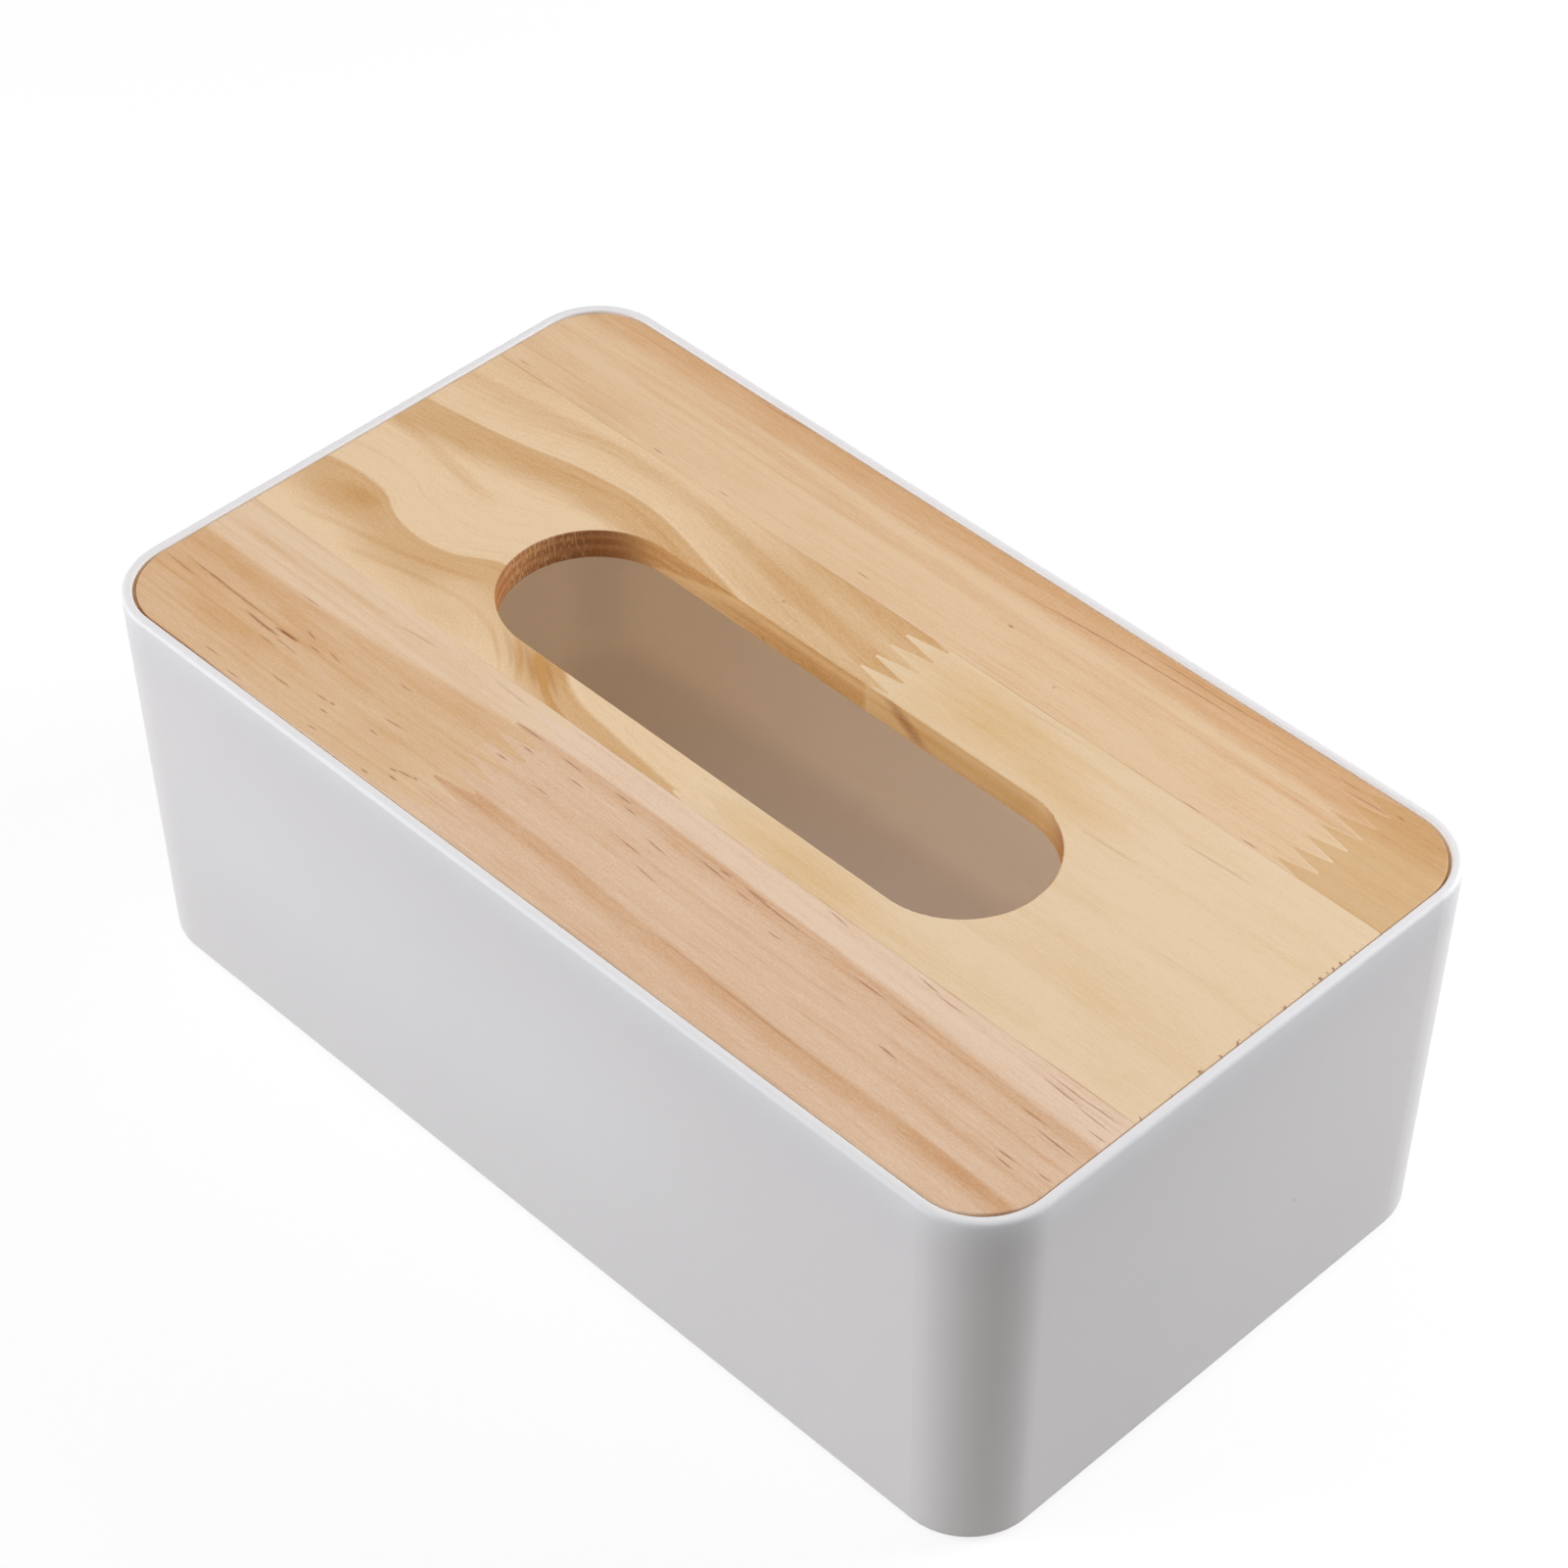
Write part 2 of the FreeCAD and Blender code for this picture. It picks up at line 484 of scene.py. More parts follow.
class Row:
    """One row of the lid: its edges across the lid, the span of its finger joint and how that shows."""

    def __init__(self, name):
        left_low, left_high = sizes_of(name + "_left_board")
        right_low = sizes_of(name + "_right_board")[0]
        self.low = left_low.y
        self.high = left_high.y
        self.joint_low = right_low.x
        self.joint_high = left_high.x
        self.phase = FINGER_PHASE[name]
        self.glue = FINGER_GLUE[name]


def straight_grain(wood, slope, bow):
    """Grain that runs along the board, with a slope and slow waves."""
    wood.across = wood.level - wood.x * slope + wood.speckle(*WAVES).swing(bow)


def finger_flanks(wood, row):
    """1 along the slanted sides of the fingers between two boards of a row."""
    phase = ((wood.y - row.low) / FINGER_PITCH - row.phase).fraction()
    wave = (phase - 0.5).size() * 2.0
    joint = row.joint_high - wave * (row.joint_high - row.joint_low)
    inside = (wood.x - row.joint_low).rise(*FLANK_LEFT_END) * (wood.x - row.joint_high).rise(*FLANK_RIGHT_END)
    return (wood.x - joint).size().rise(*FLANK_WIDTH) * inside


def add_glue(wood, row, colour):
    """Pale glue on the fingers' sides, and thin dark glue lines along the row's edges."""
    graph = wood.graph
    fade = wood.y.rise(*FLANK_FADE_BACK).spread(FLANK_LEAST, 1.0)
    flank = finger_flanks(wood, row) * wood.rough.spread(*FLANK_UNEVENNESS) * fade
    colour = graph.mix(flank * row.glue, colour, PALE_GLUE)
    edge = (wood.y - row.low).size().least((wood.y - row.high).size())
    patchy = wood.streaks(*GLUE_PATCHES).rise(*GLUE_PATCH_LIMITS).spread(*GLUE_STRENGTH)
    hidden = wood.y.rise(*GLUE_HIDDEN_Y) * wood.x.rise(*GLUE_HIDDEN_X)
    glued = edge.rise(*GLUE_WIDTH) * patchy * (1.0 - hidden * GLUE_HIDDEN_SHARE)
    return graph.mix(glued, colour, GLUE_LINE)


def paint_edge_light_and_shade(wood, slot, colour):
    """Painted light on the lid's eased outer edge, less at the right, and painted shade at the front left
    corner.
    """
    graph = wood.graph
    eased = graph.facing_z.rise(*EASED_FACING) * wood.depth.rise(*EASED_DEPTH) * (1.0 - slot)
    shaded = wood.x.rise(*SHADED_X) * wood.y.rise(*SHADED_Y)
    lit = (1.0 - shaded) * graph.facing_x.rise(*RIGHT_FACING).spread(EDGE_LIGHT_SHARE, EDGE_LIGHT_SHARE_RIGHT)
    # Painted light: the eased edge is made paler against the gap's shade, less at the right
    colour = graph.mix(eased * lit, colour, EDGE_PAINTED_LIGHT)
    # Painted shade: end-grain brown on the eased edge at the front left corner
    return graph.mix(eased * shaded * SHADED_SHARE, colour, END_GRAIN)


def end_grain_colour(wood, layers, fuzz):
    """Brown end grain with paler layers, and pale fibres where the saw left it fuzzy."""
    graph = wood.graph
    fuzzy = wood.y.rise(*FUZZY_FROM) * wood.y.rise(*FUZZY_TO)
    fibres = fuzz.rise(*FUZZ_LIMITS) * fuzzy.spread(*FUZZY_STRENGTH)
    colour = graph.mix(layers.rise(*END_LAYER_LIMITS) * END_LAYER_SHARE, END_GRAIN, END_LAYER)
    return graph.mix(fibres, colour, END_FIBRE)


def finish_wood(wood, row):
    """Joins a board's colour, marks, glue, slot with painted warm shade on its sides, painted light and shade
    on the edges, end grain, roughness and bump into its material.
    """
    graph = wood.graph
    fine = wood.streaks(*FINE_GRAIN)
    fibres = wood.streaks(*FIBRES)
    mottle = wood.streaks(*MOTTLE)
    layers = wood.speckle(*LAYERS)
    slot = wood.x.size().rise(*SLOT_LIMITS_X) * wood.y.size().rise(*SLOT_LIMITS_Y)
    side = graph.facing_z.size().rise(*SIDE_FACING) * slot
    grain = fine.swing(FINE_SHARE) + fibres.swing(FIBRE_SHARE) + mottle.swing(MOTTLE_SHARE)
    dark = wood.dark + grain * wood.calm + wood.speckle(*PORES).swing(PORE_SHARE)
    dark = dark + side * layers.swing(LAYER_SHARE)
    colour = graph.mix(dark, wood.pale, wood.tan)
    colour = graph.mix(wood.marks * MARK_SHARE, colour, RESIN)
    colour = add_glue(wood, row, colour)
    # The slot's sides get darker, warmer cut wood, partly painted warm shade
    colour = graph.mix(side, colour, SIDE_CUT_AND_SHADE, "MULTIPLY")
    colour = paint_edge_light_and_shade(wood, slot, colour)
    # End grain shows on faces that look along the lid, most of all in the slot
    shown = slot.greatest(wood.depth.rise(*END_DEPTH) * END_SHARE_OUTSIDE)
    cut = graph.facing_x.size().rise(*END_FACING) * shown
    fuzz = wood.speckle(*FUZZ)
    colour = graph.mix(cut * fuzz.spread(*END_STRENGTH), colour, end_grain_colour(wood, layers, fuzz))
    height = fine * BUMP_SHARE + fibres * BUMP_SHARE - cut * fuzz
    return graph.finish(graph.principled(
        Base_Color=colour, Roughness=(fine + fibres).spread(*WOOD_ROUGHNESS),
        Normal=graph.bump(height, WOOD_BUMP, WOOD_BUMP_DISTANCE), Specular_IOR_Level=WOOD_SPECULAR))


def back_left():
    """Pale pine with a tan band along its far side and resin lines in it."""
    wood = Wood("back_left_pine", pale=linear(225, 194, 159), tan=linear(204, 155, 107), seed=3.0)
    straight_grain(wood, slope=0.0, bow=5.0)
    far = wood.height_over([(-118, 58.4), (-80, 59.2), (-40, 58.6), (0, 57.8), (40, 57.2), (100, 55.6)])
    # The band deepens towards the far edge, and the board towards its left end
    wood.add_dark(far.rise(-1.6, 1.6), strength=0.5)
    wood.add_dark(far.rise(3.0, 8.0), strength=0.2)
    wood.add_dark(wood.x.rise(10.0, -90.0), strength=0.03)
    left_line = [(-118, 53.2), (-80, 54.2), (-30, 54.2), (20, 53.0)]
    right_line = [(40, 51.5), (70, 52.4), (92, 52.0)]
    wood.add_dark(wood.stripe(left_line, half_width=0.3, soft=1.2), strength=0.16)
    wood.add_dark(wood.stripe(right_line, half_width=0.2, soft=0.8), strength=0.16)
    wood.add_dark(wood.patch(-95, 40.5, length=60, width=6), strength=0.22)
    wood.add_streaks((
        (60.0, 1.3, 0.42, 0.8, 0.26),
        (90.0, 6.0, 0.38, 0.8, 0.22),
    ))
    wood.add_strokes((
        ([(3, 58.6), (12, 59.2), (25, 60.3), (40, 61.0), (55, 61.5), (70, 61.8)], 0.34, 0.75),
        ([(30, 63.2), (45, 63.6), (60, 63.7), (71, 64.4)], 0.38, 0.6),
        ([(84, 62.5), (90, 62.9), (96, 63.2)], 0.3, 0.6),
        ([(86, 60.9), (94, 61.4), (101, 61.9)], 0.34, 0.6),
        ([(-72, 64.3), (-62, 64.8), (-53, 65.4)], 0.36, 0.6),
    ))
    wood.add_dashes((
        (14.3, 50.5, 1.7, 0.8, 0), (-16, 41, 4.5, 0.45, 0), (-72, 38.9, 4, 0.45, 0),
        (-53, 38.9, 3.5, 0.35, 0), (-112, 39.1, 4.5, 0.4, 0), (86, 37.8, 5.5, 0.5, 0),
        (72, 37.6, 7, 0.35, 0), (32, 43.6, 0.6, 0.9, 0),
    ))
    return wood


def back_right():
    """Darker pine, tan along its far side."""
    wood = Wood("back_right_pine", pale=linear(213, 178, 134), tan=linear(197, 146, 93), seed=11.0)
    straight_grain(wood, slope=0.02, bow=4.0)
    wood.add_dark(wood.level.rise(53.0, 62.0), strength=0.55)
    wood.add_streaks((
        (120.0, 2.4, 0.42, 0.8, 0.3),
        (50.0, 7.0, 0.35, 0.8, 0.25),
    ))
    wood.add_mark(wood.dash(101, 62.6, length=3.0, width=0.6), strength=0.5)
    return wood


# Growth lines of the figured board: the large ring over the slot, the ring below it, the grain under
# that, and two fainter lines over the large ring
UPPER_RING = [
    (-118, 17.2), (-110, 18.2), (-100, 19.6), (-90, 21.6), (-80, 24.0), (-70, 25.3), (-62, 25.7),
    (-55, 25.1), (-45, 23.0), (-35, 20.7), (-27, 18.8), (-20, 17.5), (12, 13.0),
]
LOWER_RING = [
    (-118, -9.0), (-113, -8.2), (-108, -7.8), (-103, -8.0), (-99, -9.0), (-95, -11.2), (-90, -12.6),
    (-85, -12.9), (-80, -12.3), (-76, -11.0), (-72, -8.5), (-68, -6.5), (-62, -6.5), (-52, -10.0),
    (-44, -14.5), (-36, -19.2), (-33, -21.0), (-30, -22.4), (-26, -23.4), (-18, -24.4), (-8, -25.6),
    (3, -26.6), (12, -27.3),
]
LOWEST_GRAIN = [
    (-118, -27.0), (-100, -23.0), (-85, -19.0), (-70, -15.5), (-62, -15.0), (-54, -20.5),
    (-45, -27.0), (-36, -33.0), (-20, -37.0), (12, -40.0),
]
FAINT_RING = [
    (-118, 30.2), (-105, 31.6), (-90, 33.6), (-75, 35.0), (-62, 35.3), (-50, 34.4), (-25, 31.0),
    (12, 26.0),
]
FAINTEST_RING = [(-118, 33), (-75, 36.5), (-50, 35.5), (12, 28)]

# Grain lines from ring to ring and below, in the streaks' own millimetres; how much of the grain shows
# below the lower ring and above it; and how the lines below the slot fade in and out
UPPER_RING_SPAN = 25.0
LOWER_RING_SPAN = 9.0
CALM_HEIGHT = (-6.0, 0.0)
CALM_SHARE = (0.35, 0.75)
LINE_START = (-1.0, 4.0)
LINE_END = (1.0, -4.0)


def ringed_grain(wood):
    """Grain that follows the rings of the figured board, calmer below them."""
    upper = wood.graph.curve(wood.x, UPPER_RING)
    lower = wood.graph.curve(wood.x, LOWER_RING)
    lowest = wood.graph.curve(wood.x, LOWEST_GRAIN)
    over = ((wood.level - lower) / (upper - lower)).greatest(0.0)
    under = ((lower - wood.level) / (lower - lowest)).greatest(0.0)
    wood.across = over * UPPER_RING_SPAN - under * LOWER_RING_SPAN
    wood.calm = wood.height_over(LOWER_RING).rise(*CALM_HEIGHT).spread(*CALM_SHARE)


def add_rings(wood):
    """Late wood below each ring of the figured board, and the fainter rings over the large one."""
    wood.add_dark(wood.ring(UPPER_RING, edge=0.5, solid=6.0, fade=6.0), strength=0.61)
    wood.add_dark(wood.ring(LOWER_RING, edge=0.6, solid=3.5, fade=13.0), strength=0.6)
    above = wood.height_over(UPPER_RING).rise(0.0, 3.0)
    wood.add_dark(above, strength=wood.x.rise(-60.0, -20.0).spread(0.1, 0.42))
    faint = wood.ring(FAINT_RING, edge=1.0, solid=1.5, fade=5.0)
    wood.add_dark(faint, strength=wood.x.rise(-130.0, -20.0).spread(0.2, 0.26))
    wood.add_dark(wood.height_over(FAINTEST_RING).rise(0.0, 5.0), strength=0.2)


def centre_left():
    """Figured pine, with large rings at the slot's left end."""
    wood = Wood("centre_left_pine", pale=linear(231, 202, 166), tan=linear(195, 146, 88), seed=23.0)
    ringed_grain(wood)
    add_rings(wood)
    left_line = [(-118, 8.2), (-105, 7.5), (-95, 6.0), (-84, 4.3)]
    left_stripe = wood.stripe(left_line, half_width=0.5, soft=1.8)
    wood.add_dark(left_stripe * wood.x.rise(-80.0, -92.0), strength=0.25)
    wood.add_spots((
        (-103, -12.5, 16, 7, 0, 0.2),
        (-106, -17, 28, 16, 0, 0.3),
        (-40, -22, 18, 14, -0.6, 0.3),
        (-66, -24, 44, 16, 0, 0.24),
    ))
    # Lines that run down below and beside the slot
    for points, half_width, soft, strength in (
        ([(-112, -24), (-98, -21), (-80, -17.2), (-66, -12.3)], 0.3, 0.9, 0.16),
        ([(-95, -25.5), (-75, -20.6), (-62, -19.4), (-54, -21.5)], 0.3, 0.9, 0.16),
        ([(-57, -20), (-50, -24), (-45, -28)], 0.3, 0.6, 0.25),
        ([(-51, -19), (-45, -23), (-40, -28)], 0.6, 0.9, 0.3),
        ([(-45, -18.5), (-38, -23.4), (-32, -27), (-20, -30)], 0.5, 0.9, 0.35),
    ):
        ends = (wood.x - points[0][0]).rise(*LINE_START) * (wood.x - points[-1][0]).rise(*LINE_END)
        wood.add_dark(wood.stripe(points, half_width, soft) * ends, strength)
    wood.add_streaks((
        (120.0, 1.1, 0.45, 0.8, 0.17),
        (70.0, 4.0, 0.42, 0.8, 0.15),
    ))
    wood.add_strokes((
        ([(-54, -19), (-48, -22.5), (-43, -27)], 1.1, 0.32),
        ([(-50, -18.6), (-42, -22.6), (-36, -26.6)], 1.6, 0.32),
        ([(-43, -18.6), (-37, -22.2), (-30, -26)], 1.0, 0.32),
    ))
    wood.add_mark(wood.dash(-21.5, 24.6, length=1.2, width=0.9), strength=0.5)
    return wood


# Crumbs along the lid's right edge: their sizes along and across, the noise's limits, and how near they
# lie to the end and to the top
CRUMB_ALONG = 2.0
CRUMB_ACROSS = 0.9
CRUMB_DETAIL = 3.0
CRUMB_LIMITS = (0.56, 0.66)
CRUMB_FROM_END = (0.75, 0.35)
CRUMB_DEPTH = (0.9, 0.4)

# Dark place on the slot's back wall: its middle and size along the wall and down it, how far it leans for
# each millimetre down, its soft side, and which faces are that wall
DARK_PLACE_MIDDLE = (13.0, 3.5)
DARK_PLACE_SIZE = (9.0, 12.0)
DARK_PLACE_LEAN = 1.2
DARK_PLACE_SIDE = (1.0, 0.1)
DARK_PLACE_STRENGTH = (0.2, 1.0)
BACK_WALL_FACING = (-0.6, -0.9)


def add_crumbs(wood):
    """Dark crumbs along the lid's right edge."""
    crumbs = wood.graph.noise(wood.x / CRUMB_ALONG, wood.y / CRUMB_ACROSS, wood.seed, CRUMB_DETAIL)
    end_edge = (lid_high.x - wood.x).rise(*CRUMB_FROM_END) * wood.depth.rise(*CRUMB_DEPTH)
    wood.add_mark(end_edge, strength=crumbs.rise(*CRUMB_LIMITS))


def add_dark_place(wood):
    """A dark place that leans along the slot's back wall."""
    graph = wood.graph
    leaning = graph.vector(wood.x - wood.depth * DARK_PLACE_LEAN, wood.depth, 0.0)
    dark_place = graph.reach(leaning, DARK_PLACE_MIDDLE, DARK_PLACE_SIZE).rise(*DARK_PLACE_SIDE)
    back_wall = graph.facing_y.rise(*BACK_WALL_FACING)
    wood.add_mark(dark_place * back_wall, strength=wood.rough.spread(*DARK_PLACE_STRENGTH))


def centre_right():
    """Pale, plain pine with yellow patches, crumbs along its end and a dark place in the slot."""
    wood = Wood("centre_right_pine", pale=linear(229, 203, 170), tan=linear(213, 175, 121), seed=31.0)
    straight_grain(wood, slope=0.015, bow=5.0)
    uneven = wood.rough.spread(0.85, 1.15)
    for x, y, length, width, strength in (
        (34, 27, 84, 26, 0.6), (58, 23, 44, 12, 0.35), (24, 34, 44, 9, 0.3), (32, -24, 60, 20, 0.45),
        (58, -25, 100, 18, 0.2), (88, -8, 80, 20, 0.15),
    ):
        wood.add_dark(wood.patch(x, y, length, width) * uneven, strength)
    wood.add_streaks((
        (150.0, 2.0, 0.4, 0.85, 0.2),
        (40.0, 9.0, 0.4, 0.8, 0.18),
    ))
    wood.add_strokes((
        ([(74, 29.1), (85, 29.8), (95, 30.1)], 0.4, 0.4),
        ([(58, 18.6), (68, 19), (77, 19.4)], 0.4, 0.3),
        ([(28, 35.0), (38, 35.6), (50, 36)], 0.4, 0.25),
        ([(86, 5.2), (100, 5.5), (112, 5.4)], 0.4, 0.12),
    ))
    add_crumbs(wood)
    add_dark_place(wood)
    return wood


def front_left():
    """Yellow pine with many resin lines and marks."""
    wood = Wood("front_left_pine", pale=linear(227, 199, 168), tan=linear(206, 160, 113), seed=43.0)
    straight_grain(wood, slope=0.02, bow=7.0)
    # Tan below a growth line, less towards the front edge, and paler towards the finger joint
    under = wood.height_over([(-118, -40.2), (-90, -40.0), (-70, -38.8), (-45, -36.6), (-28, -34.6)])
    wood.add_dark(under.rise(0.8, -1.6), strength=under.rise(-40.0, 0.0).spread(0.35, 0.62))
    wood.add_dark(wood.x.rise(-48.0, -26.0), strength=-0.2)
    wood.add_spots((
        (-60, -54, 70, 22, 0.45, -0.2),
        (-92, -56, 34, 8, 0, 0.3),
        (-60, -51, 22, 8, 0, 0.2),
        (-108, -34.8, 44, 3.4, 0, 0.35),
        (-80, -33, 34, 3.0, 0, 0.25),
    ))
    wood.add_streaks((
        (90.0, 1.6, 0.42, 0.8, 0.32),
        (45.0, 5.0, 0.4, 0.75, 0.22),
    ))
    wood.add_strokes((
        ([(-118, -48.4), (-108, -48.8), (-95, -49.1), (-84, -49.3)], 0.34, 0.9),
        ([(-94, -50.7), (-88, -51.2), (-81, -51.2)], 0.5, 1.1),
        ([(-85.5, -50.0), (-82, -49.8), (-77.5, -49.7)], 0.6, 1.3),
        ([(-118, -50.8), (-113, -51.1), (-106, -51.3)], 0.3, 0.7),
        ([(-84, -52.0), (-80, -52.0), (-75, -52.3)], 0.25, 0.7),
        ([(-70, -33.2), (-63, -32.2), (-57, -31.8)], 0.4, 0.4),
        ([(-46, -30.0), (-39, -30.4), (-32, -30.7)], 0.4, 0.4),
    ))
    wood.add_dashes((
        (-83, -53.6, 4.5, 0.35, 0), (-104, -48.8, 7, 0.5, 0), (-78, -46.6, 3.5, 0.5, -0.2),
        (-74.5, -48.8, 3, 0.4, 0), (-70, -47.6, 4, 0.35, -0.2), (-48, -51.8, 5.5, 0.4, 0.1),
        (-63, -56.7, 3, 0.45, 0.1), (-60.3, -56.4, 1.4, 0.6, 0), (-49, -56.1, 2.4, 0.4, 0),
        (-72, -59.2, 5, 0.4, 0), (-60, -58.9, 2, 0.4, 0), (-36, -59.4, 4, 0.5, 0.15),
        (-33.8, -58.9, 1.4, 0.45, 0), (-38.5, -60.2, 2, 0.5, 0.2), (-37, -61.7, 2.4, 0.55, 0),
        (-42, -64.2, 2, 0.5, 0), (-88, -63.0, 4.5, 0.4, 0), (-80, -64.4, 4.5, 0.35, 0),
        (-58, -63.4, 2.5, 0.35, 0.1), (-54, -43.7, 4, 0.35, 0.05), (-86, -40.2, 6, 0.3, 0),
    ), longer=1.25, wider=1.2)
    return wood


def front_right():
    """Pinkish pine with two brown growth lines and many short resin marks."""
    wood = Wood("front_right_pine", pale=linear(229, 202, 177), tan=linear(201, 153, 110), seed=57.0)
    straight_grain(wood, slope=-0.012, bow=3.0)
    first = [(-32, -34.5), (-20, -34.0), (0, -33.8), (30, -34.3), (60, -35.0), (90, -36.2), (118, -37.0)]
    second = [(-32, -53.0), (0, -53.4), (20, -54.3), (50, -55.3), (62, -55.9), (90, -55.6), (118, -56.6)]
    wood.add_dark(wood.height_over(first).rise(0.6, -0.8), strength=0.32)
    wood.add_dark(wood.ring(first, edge=0.6, solid=1.6, fade=3.0), strength=0.24)
    wood.add_dark(wood.ring(second, edge=0.7, solid=1.6, fade=5.0), strength=0.36)
    wood.add_dark(wood.patch(104, -57.6, length=46, width=4.5), strength=0.25)
    wood.add_streaks((
        (140.0, 1.5, 0.44, 0.8, 0.22),
        (60.0, 6.0, 0.38, 0.8, 0.16),
    ))
    wood.add_strokes((
        ([(18, -54.6), (40, -55.6), (60, -56.3), (76, -56.4)], 0.45, 0.3),
    ))
    wood.add_dashes((
        (-28, -35.1, 7.5, 0.5, 0), (-16, -35.7, 7, 0.35, 0), (-3, -35.1, 5, 0.45, 0),
        (0.5, -36.5, 3.5, 0.35, 0), (24.5, -35.4, 3, 0.6, 0), (22, -36.4, 9, 0.4, -0.05),
        (38, -35.9, 16, 0.45, -0.03), (32.5, -35.4, 6, 0.5, 0), (31, -37.2, 5, 0.3, -0.05),
        (63, -37.3, 8, 0.45, 0), (73, -38, 7, 0.3, 0), (10.5, -39.6, 6, 0.4, -0.08),
        (7.5, -43, 6, 0.35, -0.06), (14.5, -45.8, 7, 0.35, -0.1), (76, -46.1, 5.5, 0.5, -0.05),
        (42, -40.2, 4, 0.3, 0), (107, -48.9, 4.5, 0.45, 0), (108, -50.4, 4.5, 0.45, -0.06),
        (104, -39, 6, 0.45, 0), (111, -41, 11, 0.5, -0.04), (115, -48, 3.5, 0.4, 0),
        (-25, -38.7, 3.5, 0.45, 0), (-12, -38.5, 4.5, 0.4, 0), (-27, -43.5, 3.5, 0.5, 0),
        (-15, -44.5, 5, 0.3, 0), (47, -29, 6, 0.4, -0.1), (70, -29.4, 6, 0.4, -0.08),
        (76, -30.1, 7, 0.3, 0), (105, -30.1, 11, 0.35, -0.03), (112, -30, 9, 0.35, 0),
        (104, -31.5, 10, 0.4, -0.05), (112, -32.3, 9, 0.35, -0.05), (115, -34.8, 4.5, 0.35, 0),
    ), longer=1.2, wider=1.2)
    return wood


def dress_lid():
    """Gives each board of the lid its own pine."""
    designs = {
        "back": {"_left_board": back_left, "_right_board": back_right},
        "centre": {"_left_board": centre_left, "_right_board": centre_right},
        "front": {"_left_board": front_left, "_right_board": front_right},
    }
    for name, boards in designs.items():
        row = Row(name)
        for ending, design in boards.items():
            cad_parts[name + ending].material_slots[0].material = finish_wood(design(), row)


def plastic_colour(graph, rim):
    """White with faint clouds and a few specks of dust, and painted shade that makes the rim's upward faces a
    little greyer.
    """
    colour = graph.mix(graph.noise(*graph.scaled(CLOUD_SIZE)), PLASTIC_LOW, PLASTIC_HIGH)
    # Painted shade: the rim's upward faces are greyed
    colour = graph.mix(rim, colour, RIM_PAINTED_SHADE)
    distance, chance = graph.cells(*graph.scaled(SPECK_SPACING))
    speck = distance.rise(*SPECK_RADIUS) * chance.rise(*SPECK_CHANCE)
    return graph.mix(speck * SPECK_SHARE, colour, SPECK)


def dress_box():
    """Gives the box its white plastic, which lets some light through."""
    graph = Graph("white_plastic")
    rim = graph.facing_z.rise(*RIM_FACING) * graph.z.rise(*RIM_HEIGHT)
    texture = graph.noise(*graph.scaled(TEXTURE_SIZE))
    plastic = graph.principled(
        Base_Color=plastic_colour(graph, rim), Roughness=texture.spread(*PLASTIC_ROUGHNESS),
        Normal=graph.bump(texture, PLASTIC_BUMP, PLASTIC_BUMP_DISTANCE), Specular_IOR_Level=PLASTIC_SPECULAR)
    away = graph.facing_x * graph.x + graph.facing_y * graph.y - graph.facing_z * DOWNWARD_WEIGHT
    outward = away.rise(*OUTWARD_LIMITS)
    through = graph.node("ShaderNodeBsdfTranslucent")
    graph.feed(through.inputs["Color"], graph.mix(outward, INNER_GLOW, OUTER_GLOW))
    inside_floor = graph.z.rise(*INSIDE_FLOOR_HEIGHT) * (1.0 - outward)
    both = graph.node("ShaderNodeMixShader")
    graph.feed(both.inputs[0], (1.0 - rim * RIM_GLOW_LOSS) * GLOW_SHARE + inside_floor * FLOOR_EXTRA_GLOW)
    graph.feed(both.inputs[1], plastic)
    graph.feed(both.inputs[2], through.outputs[0])
    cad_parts["box"].material_slots[0].material = graph.finish(both.outputs[0])


def seen_directly(tree):
    """1 where a surface is seen by the camera or in a reflection or through glass."""
    path = tree.nodes.new("ShaderNodeLightPath")
    seen = path.outputs["Is Camera Ray"]
    for way in ("Is Glossy Ray", "Is Transmission Ray"):
        either = tree.nodes.new("ShaderNodeMath")
        either.operation = "MAXIMUM"
        tree.links.new(seen, either.inputs[0])
        tree.links.new(path.outputs[way], either.inputs[1])
        seen = either.outputs[0]
    return seen


def choose(tree, lighting, seen):
    """One shader for the light that falls on the object, and another for what is seen directly."""
    choice = tree.nodes.new("ShaderNodeMixShader")
    tree.links.new(seen_directly(tree), choice.inputs[0])
    tree.links.new(lighting, choice.inputs[1])
    tree.links.new(seen, choice.inputs[2])
    return choice.outputs[0]


def make_floor():
    """A large floor, grey to the object and white with a faint shadow to the camera."""
    half = FLOOR_SIZE / 2
    corners = [(-half, -half, 0), (half, -half, 0), (half, half, 0), (-half, half, 0)]
    mesh = bpy.data.meshes.new("floor")
    mesh.from_pydata(corners, [], [(0, 1, 2, 3)])
    floor = bpy.data.objects.new("floor", mesh)
    floor.location.z = -FLOOR_DROP
    bpy.context.collection.objects.link(floor)
    graph = Graph("pale_floor")
    bounce = graph.node("ShaderNodeBsdfDiffuse")
    bounce.inputs["Color"].default_value = FLOOR_BOUNCE
    lit = graph.node("ShaderNodeBsdfDiffuse")
    lit.inputs["Color"].default_value = (FLOOR_SHADOW_SHARE, FLOOR_SHADOW_SHARE, FLOOR_SHADOW_SHARE, 1.0)
    glow = graph.node("ShaderNodeEmission")
    glow.inputs["Strength"].default_value = FLOOR_GLOW
    white = graph.node("ShaderNodeAddShader")
    graph.feed(white.inputs[0], lit.outputs[0])
    graph.feed(white.inputs[1], glow.outputs[0])
    mesh.materials.append(graph.finish(choose(graph.tree, bounce.outputs[0], white.outputs[0])))


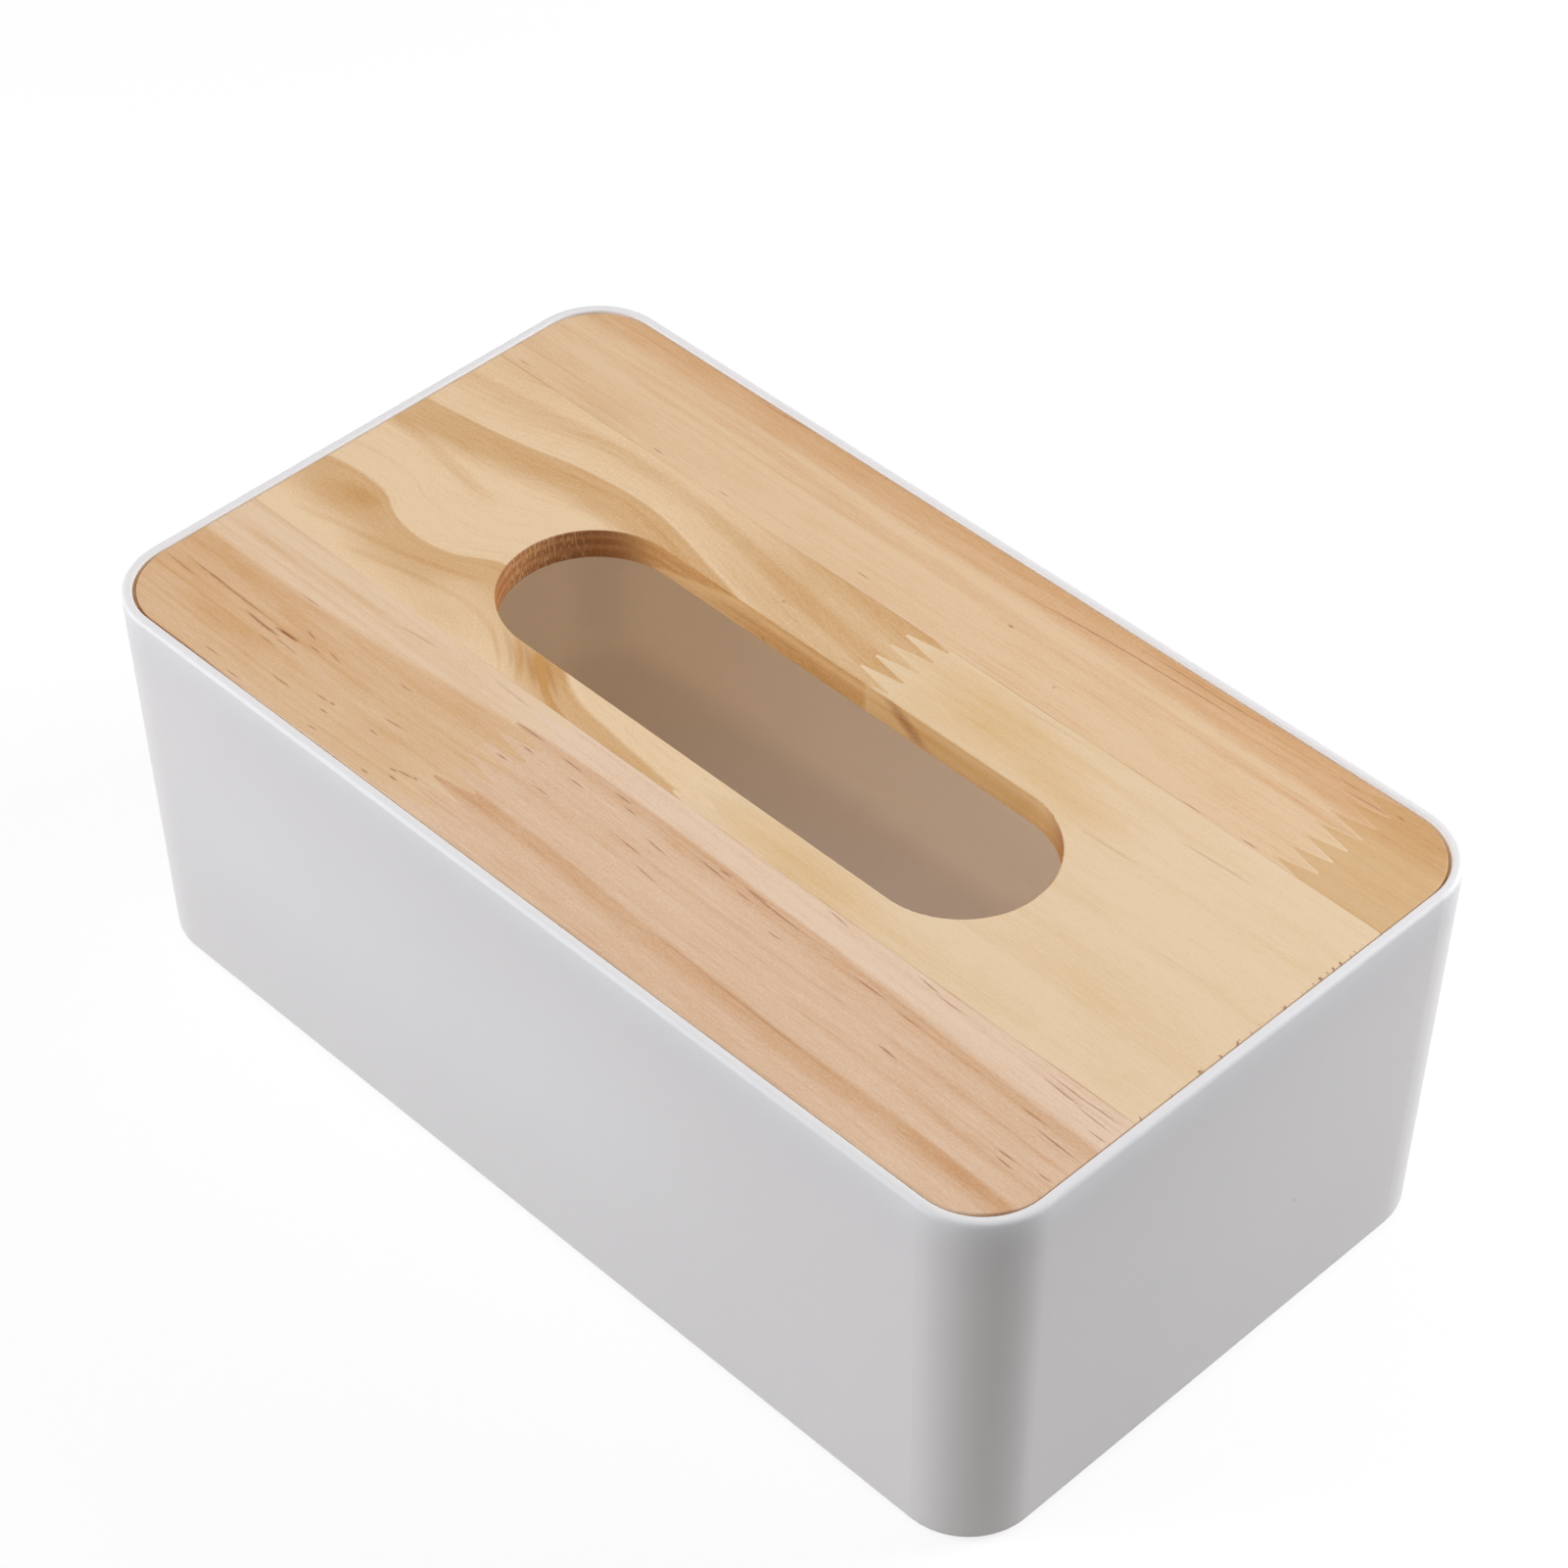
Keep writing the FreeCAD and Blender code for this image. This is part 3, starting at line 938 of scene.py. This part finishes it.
def make_world():
    """Dim, even light from all round, seen as white."""
    world = bpy.data.worlds.new("studio")
    bpy.context.scene.world = world
    world.use_nodes = True
    tree = world.node_tree
    tree.nodes.clear()
    ambient = tree.nodes.new("ShaderNodeBackground")
    ambient.inputs["Color"].default_value = WHITE
    ambient.inputs["Strength"].default_value = WORLD_STRENGTH
    white = tree.nodes.new("ShaderNodeBackground")
    white.inputs["Color"].default_value = WHITE
    output = tree.nodes.new("ShaderNodeOutputWorld")
    tree.links.new(choose(tree, ambient.outputs[0], white.outputs[0]), output.inputs["Surface"])


def make_softbox(name, place, size, power):
    """A rectangular lamp that looks at the object."""
    light = bpy.data.lights.new(name, "AREA")
    light.shape = "RECTANGLE"
    light.size, light.size_y = size
    light.energy = power
    lamp = bpy.data.objects.new(name, light)
    lamp.location = place
    lamp.rotation_euler = (Vector(SOFTBOX_AIM) - Vector(place)).to_track_quat("-Z", "Y").to_euler()
    lamp.visible_camera = False
    bpy.context.collection.objects.link(lamp)


def make_camera():
    """The photograph's view."""
    azimuth = math.radians(CAMERA_AZIMUTH)
    elevation = math.radians(CAMERA_ELEVATION)
    right = Vector((math.cos(azimuth), math.sin(azimuth), 0))
    outward = Vector((math.sin(azimuth), -math.cos(azimuth), 0))
    back = outward * math.cos(elevation) + Vector((0, 0, math.sin(elevation)))
    up = back.cross(right)
    turn = Matrix.Rotation(math.radians(CAMERA_ROLL), 3, back)
    right = turn @ right
    up = turn @ up
    aim = Vector((0, 0, CAMERA_AIM_HEIGHT)) + right * CAMERA_AIM_RIGHT + up * CAMERA_AIM_UP
    lens = bpy.data.cameras.new("camera")
    lens.lens = CAMERA_LENS_MM
    lens.sensor_width = CAMERA_SENSOR_MM
    camera = bpy.data.objects.new("camera", lens)
    axes = Matrix((right, up, back)).transposed().to_4x4()
    camera.matrix_world = Matrix.Translation(aim + back * CAMERA_DISTANCE) @ axes
    bpy.context.collection.objects.link(camera)
    bpy.context.scene.camera = camera


dress_lid()
dress_box()
make_floor()
make_world()
for softbox in SOFTBOXES:
    make_softbox(*softbox)
make_camera()
bpy.context.scene.view_settings.view_transform = "Standard"

bpy.context.view_layer.update()
